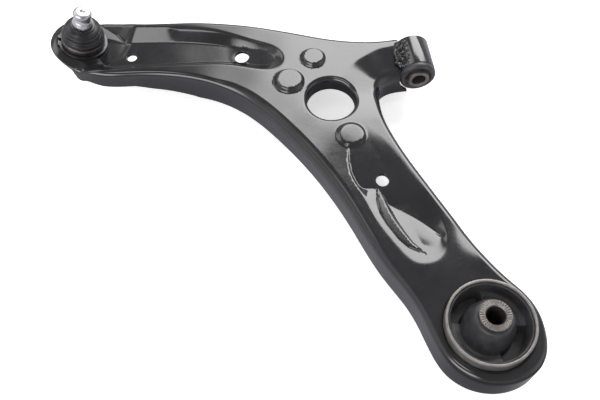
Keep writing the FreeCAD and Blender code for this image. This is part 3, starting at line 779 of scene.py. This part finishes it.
PAINT = black_paint()
BUSH_STEEL = bare_steel("bush_steel", (0.16, 0.15, 0.147), (0.28, 0.268, 0.26), (0.19, 0.15, 0.125), 0.36,
                        metal=0.55)
CORE_STEEL = bare_steel("core_steel", (0.12, 0.110, 0.105), (0.24, 0.222, 0.212), (0.14, 0.105, 0.085), 0.42)
HOUSING_STEEL = bare_steel("housing_steel", (0.10, 0.083, 0.079), (0.19, 0.158, 0.15), (0.14, 0.085, 0.066),
                           0.32)
RING_STEEL = bare_steel("ring_steel", (0.04, 0.04, 0.042), (0.10, 0.10, 0.105), (0.06, 0.05, 0.045), 0.32)
STUD_STEEL = smooth_finish("stud_steel", (0.46, 0.46, 0.48), (0.60, 0.60, 0.62), (0.24, 0.38), 1.0,
                           (300, 4), 1600)
BUSH_RUBBER = rubber("bush_rubber", (0.028, 0.028, 0.030), (0.055, 0.055, 0.059), 0.36)
BOOT_RUBBER = rubber("boot_rubber", (0.012, 0.012, 0.014), (0.024, 0.024, 0.027), 0.28)
SEAT = smooth_finish("seat_polymer", (0.70, 0.68, 0.62), (0.80, 0.78, 0.72), (0.4, 0.4), 0.0, (200, 3), 1500)


# ---- pieces on the arm

EYE_WALL = 2.5
# Gaps between the pressing and the eye, and between it and the front rubber's flange
EYE_FIT = 0.04
FLANGE_ROOM = 0.35
# The pressing ends here, short of the eye's axis
TRIM_X = -9


def cut_away(piece, vertices, faces, turn=None):
    """Cut a closed shape out of a piece."""
    cutter = make_piece("cutter", vertices, faces, PAINT, turn, None)
    shape = bmesh.new()
    shape.from_mesh(cutter.data)
    bmesh.ops.recalc_face_normals(shape, faces=shape.faces)
    shape.to_mesh(cutter.data)
    shape.free()
    apply_boolean(piece, cutter)


def arm_pressing():
    """The pressing, with room cut for the eye and the front rubber, and trimmed past the eye's axis."""
    piece = make_piece("pressed_arm", *build_pressing(), PAINT)
    turn = Matrix.Translation((0, EYE_Y[0] * MM, 0)) @ Matrix.Rotation(math.pi / 2, 4, "X")
    for radius, low, high in ((EYE_RADIUS + EYE_FIT, -60, 0), (EYE_RADIUS + FLANGE_ROOM, 0, 60)):
        vertices, faces = spun(section(0, radius, low, high), 128, False)
        cut_away(piece, vertices, flipped(faces), turn)
    box = [(x, y, z) for x in (TRIM_X, 60) for y in (EYE_Y[0] - 10, EYE_Y[1] + 40) for z in (-40, 40)]
    sides = [(0, 1, 3, 2), (4, 6, 7, 5), (0, 4, 5, 1), (2, 3, 7, 6), (0, 2, 6, 4), (1, 5, 7, 3)]
    cut_away(piece, box, sides)
    piece.data.shade_smooth()
    piece.data.set_sharp_from_angle(angle=math.radians(40))
    return piece


def place(piece, body, slot, *nodes):
    """Ride a body and stand for CAD nodes; slot is not used."""
    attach(piece, body)
    if nodes:
        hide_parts(*nodes)
    return piece


def along_y(start):
    return Matrix.Translation((0, start * MM, 0)) @ ALONG_Y


def build_arm():
    place(arm_pressing(), "arm", "arm_paint", "arm_pressing")
    profile = section(EYE_RADIUS - EYE_WALL, EYE_RADIUS, 0, EYE_Y[1] - EYE_Y[0])
    tube = turned_piece("eye_tube", profile, PAINT, along_y(EYE_Y[0]), 0.6, 128)
    place(tube, "arm", "arm_paint", "front_bush_tube")
    place(weld_bead(), "arm", "arm_paint", "tube_weld_upper")


WELD_X = (-19.0, -6.5)
WELD_Y = (EYE_Y[0] + 1.0, EYE_Y[1] - 1.0)
WELD_ROWS, WELD_COLUMNS = 90, 22
WELD_HEIGHT = 2.2
RIPPLE_PITCH = 3.1
WELD_SEED = 0.37
# The bead's underside is this far inside the plate and the eye
WELD_DEPTH = 1.1


def weld_point(along, across):
    """Point on the bead's top and the height of the steel under it; both arguments run from 0 to 1."""
    seed = WELD_SEED
    low_x, high_x = WELD_X
    middle = (low_x + high_x) / 2
    y = WELD_Y[0] + along * (WELD_Y[1] - WELD_Y[0])
    wander = 1.6 * noise.noise(Vector((along * 7, seed, 0)))
    grow = 1 + 0.35 * noise.noise(Vector((along * 9, seed, 5)))
    ends = math.sqrt(max(0.0, 1 - abs(2 * along - 1) ** 6))
    x = (low_x + wander) * (1 - across) + (high_x + wander * 0.5) * across
    x = (x - middle) * grow * (0.45 + 0.55 * ends) + middle
    base = max(math.sqrt(max(EYE_RADIUS ** 2 - x * x, 0.0)), TOP_Z if x < -12 else 0.0)
    bulge = abs(2 * across - 1)
    dome = (1 - bulge ** 2.4) ** 0.8
    ripple = 0.5 + 0.5 * math.sin(2 * math.pi * (y / RIPPLE_PITCH + 0.35 * bulge ** 2 + seed))
    rough = noise.noise(Vector((x * 0.55, y * 0.55, seed)))
    rough += 0.5 * noise.noise(Vector((x * 1.6, y * 1.6, seed)))
    return x, y, WELD_HEIGHT * dome * ends * (0.6 + 0.35 * ripple + 1.15 * rough) - 0.12, base


def weld_bead():
    """Irregular fusion weld laid over the joint of plate and tube."""
    rows, columns = WELD_ROWS, WELD_COLUMNS
    spots = [weld_point(i / (rows - 1), k / (columns - 1)) for i in range(rows) for k in range(columns)]
    top = [(x, y, base + rise) for x, y, rise, base in spots]
    bottom = [(x, y, base - WELD_DEPTH) for x, y, _, base in spots]
    shift = rows * columns
    faces = quads(rows, columns, wrap=False) + flipped(quads(rows, columns, wrap=False, start=shift))
    index = np.arange(shift).reshape(rows, columns).tolist()
    rim = index[0] + [row[-1] for row in index[1:]] + index[-1][-2::-1] + [row[0] for row in index[-2:0:-1]]
    faces += [[b, a, a + shift, b + shift] for a, b in zip(rim, rim[1:] + rim[:1])]
    return make_piece("weld_bead_upper", np.array(top + bottom), faces, PAINT, smooth_angle=50)


# ---- the bushes

SLEEVE_WALL = 2.4
# Outer rim, dished web and dome of the rear rubber, from the sleeve inward: radius, height
RUBBER_SIDE = [(31.55, 16.9), (30.9, 17.6), (30.1, 17.4), (29.5, 16.2), (29.1, 12.0), (28.6, 8.6),
               (27.4, 7.4), (24.5, 7.0), (22.0, 7.6), (20.3, 9.6), (19.0, 12.8), (18.0, 16.6), (16.9, 20.6),
               (15.6, 24.2), (14.6, 26.6), (13.6, 27.8), (12.06, 28.0)]
RUBBER_SEGMENTS = 240
# Flat end of each rubber half, and the floor of the voids above it
RUBBER_FLOOR = -5.0
VOID_FLOOR = -4.5
VOID_MIDDLE_DEG = (127.0, -43.0)


def build_rear_bush():
    profile = section(SLEEVE_RADIUS - SLEEVE_WALL, SLEEVE_RADIUS, -SLEEVE_HALF, SLEEVE_HALF)
    sleeve = turned_piece("rear_sleeve", profile, BUSH_STEEL, None, 0.7, 160)
    place(sleeve, "arm", "bush_steel", "rear_bush_outer_sleeve")
    for name, side in (("rear_rubber_upper", 1), ("rear_rubber_lower", -1)):
        piece = rear_rubber(name, side)
        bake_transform(piece)
        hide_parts("rear_bush_rubber")
    place(serrated_core(), "rear_core", "bush_steel", "rear_bush_inner_sleeve")


def void_share(radius, degrees):
    """1 in the middle of either kidney void, 0 on the rubber round it."""
    flank = smooth(radius, 19.6, 21.0) * (1 - smooth(radius, 28.2, 28.9))
    turns = [abs((degrees - middle + 180) % 360 - 180) for middle in VOID_MIDDLE_DEG]
    return max(float((1 - smooth(turn, 36.0, 38.6)) * flank) for turn in turns)


def rear_rubber(name, side):
    """Half of the bonded rubber: dome, web, lip and, on the upper half, two kidney voids."""
    knots = np.array(RUBBER_SIDE)[::-1]
    inner, outer = knots[0, 0], knots[-1, 0]
    radii = np.unique(np.concatenate([np.linspace(inner, 19.5, 22), np.linspace(19.5, 29.6, 46),
                                      np.linspace(29.6, outer, 10)]))[::-1]
    heights = np.interp(radii, knots[:, 0], knots[:, 1])
    heights[2:-2] = np.convolve(heights, np.array([1, 2, 3, 2, 1]) / 9, "valid")
    angles = np.linspace(0, 360, RUBBER_SEGMENTS, endpoint=False)
    bottom = RUBBER_FLOOR if side > 0 else RUBBER_FLOOR - 0.02
    vertices = [(*polar(outer, angle), bottom) for angle in angles]
    for radius, level in zip(radii, heights):
        for angle in angles:
            void = void_share(radius, angle) if side > 0 else 0.0
            vertices.append((*polar(radius, angle), side * (level * (1 - void) + VOID_FLOOR * void)))
    last = len(vertices)
    vertices += [(*polar(inner, angle), bottom) for angle in angles]
    faces = quads(len(radii) + 2, RUBBER_SEGMENTS)
    ring = [(i, (i + 1) % RUBBER_SEGMENTS) for i in range(RUBBER_SEGMENTS)]
    faces += [[last + i, last + j, j, i] for i, j in ring]
    return make_piece(name, np.array(vertices), faces if side > 0 else flipped(faces), BUSH_RUBBER,
                      smooth_angle=60)


CORE_BORE = 7.15
CORE_TEETH = 36
TOOTH_DEPTH = 0.45


def serrated_core():
    """Thick inner sleeve whose end faces carry fine radial teeth."""
    bore, outer, half = CORE_BORE, CORE_RADIUS, CORE_HALF
    corners = [(bore, half - 0.7), (bore + 0.7, half), (outer - 0.5, half), (outer, half - 0.5)]
    profile = np.array(corners + [(radius, -level) for radius, level in corners[::-1]])
    dense = []
    for a, b in zip(profile, np.roll(profile, -1, 0)):
        parts = max(1, int(np.linalg.norm(b - a) / 0.9)) if abs(a[1] - b[1]) < 0.01 else 1
        dense += [a + (b - a) * t / parts for t in range(parts)]
    vertices, faces = spun(dense, 288)
    wave = np.sin(np.arctan2(vertices[:, 1], vertices[:, 0]) * CORE_TEETH)
    radius = np.hypot(vertices[:, 0], vertices[:, 1])
    on_face = (np.abs(np.abs(vertices[:, 2]) - half) < 0.02) & (radius > bore + 1.0) & (radius < outer - 0.3)
    tooth = 0.5 + 0.5 * np.sign(wave) * np.abs(wave) ** 0.5
    vertices[on_face, 2] -= np.sign(vertices[on_face, 2]) * TOOTH_DEPTH * tooth[on_face]
    return make_piece("rear_core_sleeve", vertices, faces, CORE_STEEL, smooth_angle=30)


FRONT_SHELL = 1.2
FRONT_CORE_BORE = 6.2
# How far the front rubber's flange stands out of the eye, and its radius
FLANGE_OUT = 5.0
FLANGE_RADIUS = 16.6


def build_front_bush():
    low, high = EYE_Y
    bore = EYE_RADIUS - EYE_WALL
    length = high - low
    shell = section(bore - FRONT_SHELL - 0.05, bore - 0.05, 0.3, length - 0.3)
    sleeve = turned_piece("front_sleeve", shell, BUSH_STEEL, along_y(low))
    place(sleeve, "arm", "bush_steel", "front_bush_outer_sleeve")
    core = FRONT_CORE_RADIUS + 0.06
    start = -FLANGE_OUT
    fill = bore - FRONT_SHELL - 0.1
    body = [(core, start + 1.7), (core + 1.5, start + 1.6, 0.6), (core + 2.6, start + 0.1, 0.9),
            (FLANGE_RADIUS - 1.2, start, 1.4), (FLANGE_RADIUS, start + 1.6, 0.8),
            (FLANGE_RADIUS - 0.1, -0.15, 0.5), (fill, -0.1), (fill, length - 1.0, 0.8),
            (core + 1.6, length + 1.2, 1.2), (core, length + 1.4)]
    flange = turned_piece("front_rubber", body, BUSH_RUBBER, along_y(low), 0.4, 128)
    place(flange, "arm", "rubber", "front_bush_rubber")
    reach = FRONT_CORE_Y[1] - FRONT_CORE_Y[0]
    outline = [(FRONT_CORE_BORE, 0.0, 0.7), (FRONT_CORE_RADIUS, 0.0, 0.5), (FRONT_CORE_RADIUS, reach, 0.5),
               (FRONT_CORE_BORE, reach, 0.7)]
    core_piece = turned_piece("front_core_sleeve", outline, CORE_STEEL, along_y(FRONT_CORE_Y[0]))
    place(core_piece, "front_core", "bush_steel", "front_bush_inner_sleeve")


# ---- the ball joint

HOUSING_FOOT = -22.0
BALL_RADIUS = 13.0
# Outer curves of the boot's two halves, and the shapes that end them: radius, height
BOOT_LOWER = [(18.3, 9.35), (18.95, 9.9), (19.1, 10.8), (18.6, 11.9), (17.6, 12.5), (17.4, 12.9),
              (17.9, 13.4), (17.9, 14.1), (17.0, 14.9), (15.9, 15.4), (15.65, 15.75)]
BOOT_UPPER = [(15.65, 15.75), (16.1, 16.1), (16.6, 16.8), (16.4, 17.7), (15.6, 18.4), (14.9, 18.7),
              (14.8, 19.1), (15.0, 19.6), (14.6, 20.3), (13.2, 21.1), (12.0, 21.6), (11.2, 21.9)]
BOOT_FOOT = [(17.25, 9.15, 0.1), (17.3, 7.6, 0.1), (18.5, 7.6, 0.2), (18.6, 8.0, 0.2), (18.3, 8.4, 0.2)]
BOOT_HEAD = [(10.5, 22.0, 0.2), (10.3, 22.4, 0.2), (10.9, 22.9, 0.3), (10.7, 23.5, 0.3), (7.9, 23.5, 0.2),
             (7.9, 20.4, 0.2), (9.4, 20.3, 0.2)]
BOOT_WALL = 1.1
# Heights within each half of the boot
LOWER_BEND = (9.5, 15.6)
UPPER_BEND = (15.9, 20.2)
# Snap ring: inner and outer radius, thickness, where its gap is, and its eyelets' bore and radius
RING = (19.05, 21.9, 1.7)
RING_GAP_DEG = (172, 190)
EYELET = (0.95, 2.3)
# The boot's wire rings: piece, CAD node, body, radius, height, radius of the wire, pitch
BOOT_WIRES = [("boot_wire_lower", "boot_lower_ring", "arm", 18.85, 8.45, 0.34, 0.8),
              ("boot_wire_upper", "boot_upper_ring", "boot_top", 10.85, 22.2, 0.30, 0.6)]
COIL_STEPS = 96


def fine_curve(points, steps=5):
    """Smooth open curve through points."""
    points = np.array(points, float)
    padded = np.concatenate([[2 * points[0] - points[1]], points, [2 * points[-1] - points[-2]]])
    result = []
    for a, b, c, d in zip(padded, padded[1:], padded[2:], padded[3:]):
        for t in np.linspace(0, 1, steps, endpoint=False):
            result.append(0.5 * (2 * b + (c - a) * t + (2 * a - 5 * b + 4 * c - d) * t * t
                                 + (3 * b - a - 3 * c + d) * t ** 3))
    return [tuple(p) for p in result] + [tuple(points[-1])]


def build_ball_joint():
    housing = [(14.6, HOUSING_FOOT, 0.4), (19.2, HOUSING_FOOT, 1.0), (19.4, -12.3, 0.4), (22.5, -12.1, 0.5),
               (22.5, -9.1, 0.4), (20.0, -9.0, 0.2), (20.0, -0.2, 0.3), (19.0, 0.0, 0.1), (19.0, 1.75, 0.1),
               (19.4, 1.9, 0.2), (19.4, 5.9, 0.6), (18.7, 7.3, 0.4), (17.2, 7.45, 0.2), (17.2, 9.3, 0.2),
               (17.8, 9.5, 0.2), (17.8, 10.2, 0.2), (16.0, 10.25, 0.3), (11.9, 2.6, 0.2), (16.6, 2.4, 0.2),
               (16.6, HOUSING_FOOT + 1.4, 0.2), (14.6, HOUSING_FOOT + 1.4, 0.2)]
    cup = turned_piece("ball_housing", housing, HOUSING_STEEL, ON_BALL, 0.3, 128)
    place(cup, "arm", "housing_steel", "ball_joint_housing")
    low = HOUSING_FOOT + 1.45
    disc = [(0, low - 1.2), (9.0, low - 1.2, 1.0), (11.0, low, 1.0), (16.5, low, 0.3), (16.5, low + 1.4, 0.3),
            (10.5, low + 1.4, 1.0), (8.5, low + 0.2, 1.0), (0, low + 0.2)]
    cover = turned_piece("ball_end_cover", disc, HOUSING_STEEL, ON_BALL, 0.3, 96, closed=False)
    place(cover, "arm", "housing_steel", "ball_joint_end_cover")
    stud()
    boot()
    snap_ring()


def stud():
    """Ball stud: ball, neck, boot seat, collar and a shank with its pinch groove and centre drilling."""
    ball = [(BALL_RADIUS * math.cos(a), BALL_RADIUS * math.sin(a) - BALL_DROP, 0)
            for a in np.linspace(-1.17, math.pi / 3, 20)]
    pinch = [(8.2 - 0.9 * math.cos(t), 32.5 + 3.0 * math.sin(t), 0) for t in np.linspace(-1.5, 1.5, 11)]
    seat = [(6.5, 21.2, 0.6), (7.8, 21.9, 0.3), (7.8, 23.7, 0.2), (9.0, 23.9, 0.3), (9.0, 26.6, 0.7),
            (8.25, 27.9, 0.5)]
    crown = [(8.2, 36.8, 0.4), (7.6, 38.4, 1.0), (6.2, 39.15, 1.2), (4.0, 39.45, 0.8), (2.35, 39.5, 0.3),
             (1.5, 38.2, 0.2), (0, 37.4, 0)]
    profile = [(0, ball[0][1], 0)] + ball + seat + pinch + crown
    piece = turned_piece("ball_stud_piece", profile, STUD_STEEL, ON_BALL, 0.4, closed=False, smooth_angle=50)
    place(piece, "stud", "stud_steel", "ball_stud")


def boot_half(name, curve, first, last, bend, *bodies):
    """Closed ring of rubber from an outer curve, walled inward, with its end shapes."""
    outer = [(r, h, 0) for r, h in fine_curve(curve)]
    inner = [(r - BOOT_WALL, h, 0) for r, h, _ in outer[::-1]]
    profile = outer + last + inner + first
    piece = turned_piece(name, profile, BOOT_RUBBER, ON_BALL, 0.2, 128, smooth_angle=50)
    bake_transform(piece)
    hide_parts("dust_boot")


def boot():
    """The boot in two halves, and its two wire rings."""
    boot_half("boot_lower_fold", BOOT_LOWER, BOOT_FOOT, [], LOWER_BEND, "arm", "boot_fold")
    boot_half("boot_upper_fold", BOOT_UPPER, [], BOOT_HEAD, UPPER_BEND, "boot_fold", "boot_top")
    for name, node, body, radius, level, wire, pitch in BOOT_WIRES:
        place(coil(name, radius, level, wire, pitch), body, "ring_steel", node)


def swept(sections):
    """Vertices and faces of a rod through closed cross-sections, with both ends closed."""
    size = len(sections[0])
    last = (len(sections) - 1) * size
    faces = flipped(quads(len(sections), size))
    faces += [list(range(size)), [last + k for k in range(size)][::-1]]
    return [point for row in sections for point in row], faces


def coil(name, radius, level, wire, pitch, turns=2, sides=10):
    """Round wire wound twice, its ends tapered."""
    steps = COIL_STEPS * turns
    sections = []
    for i in range(steps + 1):
        angle = 360 * i / COIL_STEPS
        z = level + pitch * (i / steps - 0.5) * turns * 0.5
        size = wire * (0.35 if i in (0, steps) else 1.0)
        rim = [polar(size, 360 * k / sides) for k in range(sides)]
        sections.append([(*polar(radius + out, angle), z + up) for out, up in rim])
    return make_piece(name, *swept(sections), RING_STEEL, ON_BALL, 60)


def snap_ring():
    """Open spring ring in the housing's groove, each end an eyelet."""
    inner, outer, thick = RING
    low, high = RING_GAP_DEG
    profile = rounded(section(inner, outer, 0.02, thick), 0.25)
    angles = [high + (360 - (high - low)) * i / 150 for i in range(151)]
    vertices, faces = swept([[(*polar(r, angle), z) for r, z in profile] for angle in angles])
    eyelet = rounded(section(*EYELET, 0.02, thick), 0.25)
    for degrees in (low - 3.0, high + 3.0):
        points, sides = spun(eyelet, 32)
        shift = len(vertices)
        across, along = polar((inner + outer) / 2 + 0.35, degrees)
        vertices += [(x + across, y + along, z * 1.02) for x, y, z in points]
        faces += [[v + shift for v in face] for face in sides]
    piece = make_piece("snap_ring_piece", vertices, faces, RING_STEEL, ON_BALL)
    place(piece, "arm", "ring_steel", "snap_ring")


# ---- stage, light and camera

# Soft boxes: left and right azimuth from +Y, lower and upper elevation, softness each way (degrees), power
PANELS = [(0.5, 54, 27, 55.5, 8, 1.2, 9.0), (-160, -98, 70.5, 86, 6, 2, 5.0), (-160, -112, 20, 46, 8, 4, 6.0),
          (-70, -22, 35, 58, 8, 4, 2.5), (-115, -75, 10, 60, 12, 10, 0.6), (90, 130, 5, 50, 12, 10, 0.6)]
# Brightness of the room at floor level and at the height where it stops fading
ROOM_LOW, ROOM_HIGH = 0.9, 0.38
ROOM_TOP = 0.75
FLOOR_SIZE = 4000.0
FLOOR_GLOW = 0.6
# Place of the camera in mm, the directions of its picture's right and lower side and of its view, lens in mm
CAMERA_PLACE = (-164.5, -167.3, 522.7)
CAMERA_RIGHT = (0.9915, -0.1300, 0.0026)
CAMERA_DOWN = (-0.1115, -0.8600, -0.4979)
CAMERA_AHEAD = (0.0670, 0.4934, -0.8672)
CAMERA_LENS = 43.66


def soft_box(n, azimuth, elevation, panel):
    """Brightness of one soft box in a direction."""
    left, right, low, high, soft_wide, soft_high = (math.radians(value) for value in panel[:6])

    def falling(value, middle, soft):
        inputs = {"Value": value, "From Min": middle + soft, "From Max": middle - soft}
        return n.add("ShaderNodeMapRange", inputs, interpolation_type="SMOOTHSTEP").outputs["Result"]

    turn = n.math("SUBTRACT", azimuth, (left + right) / 2)
    turn = n.add("ShaderNodeMath", {0: turn, 1: math.pi, 2: -math.pi}, operation="WRAP").outputs[0]
    across = n.math("ABSOLUTE", turn)
    upward = n.math("ABSOLUTE", n.math("SUBTRACT", elevation, (low + high) / 2))
    mask = n.math("MULTIPLY", falling(across, (right - left) / 2, soft_wide),
                  falling(upward, (high - low) / 2, soft_high))
    return n.math("MULTIPLY", mask, panel[6])


def world_light():
    """Studio: a pale room for the camera, and soft boxes that only reflections and light see."""
    world = bpy.data.worlds.new("studio")
    bpy.context.scene.world = world
    world.use_nodes = True
    n = Nodes(world.node_tree)
    n.tree.nodes.clear()
    view = n.add("ShaderNodeTexCoord").outputs["Generated"]
    axes = n.add("ShaderNodeSeparateXYZ", {0: view}).outputs
    azimuth = n.math("ARCTAN2", axes["X"], axes["Y"])
    elevation = n.math("ARCSINE", axes["Z"])
    total = n.spread(axes["Z"], ROOM_LOW, ROOM_HIGH, 0.0, ROOM_TOP)
    for panel in PANELS:
        total = n.math("ADD", total, soft_box(n, azimuth, elevation, panel))
    camera_ray = n.add("ShaderNodeLightPath").outputs["Is Camera Ray"]
    shade = n.add("ShaderNodeMix", {0: camera_ray, 2: total, 3: 1.0}, data_type="FLOAT")
    back = n.add("ShaderNodeBackground", {"Strength": shade.outputs[0]})
    n.add("ShaderNodeOutputWorld", {0: back.outputs[0]})


def floor():
    """Pale floor under the part; the part's own light and reflections see a darker one, with painted shade
    towards -Y.
    """
    line = np.linspace(-FLOOR_SIZE, FLOOR_SIZE, 9)
    level = cad_box[0][2] / MM - 0.05
    vertices = [(x, y, level) for y in line for x in line]
    n = Paint("floor_paper")
    seen = n.add("ShaderNodeLightPath").outputs["Is Camera Ray"]
    paper = n.mix(n.noise(6), (0.90, 0.90, 0.90), (0.93, 0.93, 0.93))
    along = n.add("ShaderNodeSeparateXYZ", {0: n.where}).outputs["Y"]
    # Painted shade: the floor that light and reflections see is darker towards -Y. It stands in for shadow in
    # front of the part's near walls.
    unseen_painted_shade = n.mix(n.spread(along, 0, 1, -0.075, 0.02), (0.16, 0.16, 0.175), (0.66, 0.65, 0.71))
    n.set(Base_Color=n.mix(seen, unseen_painted_shade, paper), Roughness=0.9)
    n.set(Emission_Color=(1, 1, 1, 1), Emission_Strength=n.math("MULTIPLY", seen, FLOOR_GLOW))
    make_piece("floor", vertices, quads(len(line), len(line), wrap=False), n.material)


def camera():
    data = bpy.data.cameras.new("camera")
    data.lens, data.sensor_width = CAMERA_LENS, 36.0
    data.clip_start, data.clip_end = 0.01, 50
    turn = Matrix((CAMERA_RIGHT, [-v for v in CAMERA_DOWN], [-v for v in CAMERA_AHEAD])).transposed()
    eye = bpy.data.objects.new("camera", data)
    eye.matrix_world = Matrix.Translation(Vector(CAMERA_PLACE) * MM) @ turn.to_4x4()
    bpy.context.scene.collection.objects.link(eye)
    bpy.context.scene.camera = eye


build_arm()
build_rear_bush()
build_front_bush()
build_ball_joint()
for node_name, material in (("ball_seat", SEAT), ("tube_weld_lower", PAINT)):
    node = frame["nodes"][node_name]
    node.data.materials.clear()
    node.data.materials.append(material)
floor()
world_light()
camera()
bpy.context.scene.view_settings.view_transform = "Standard"
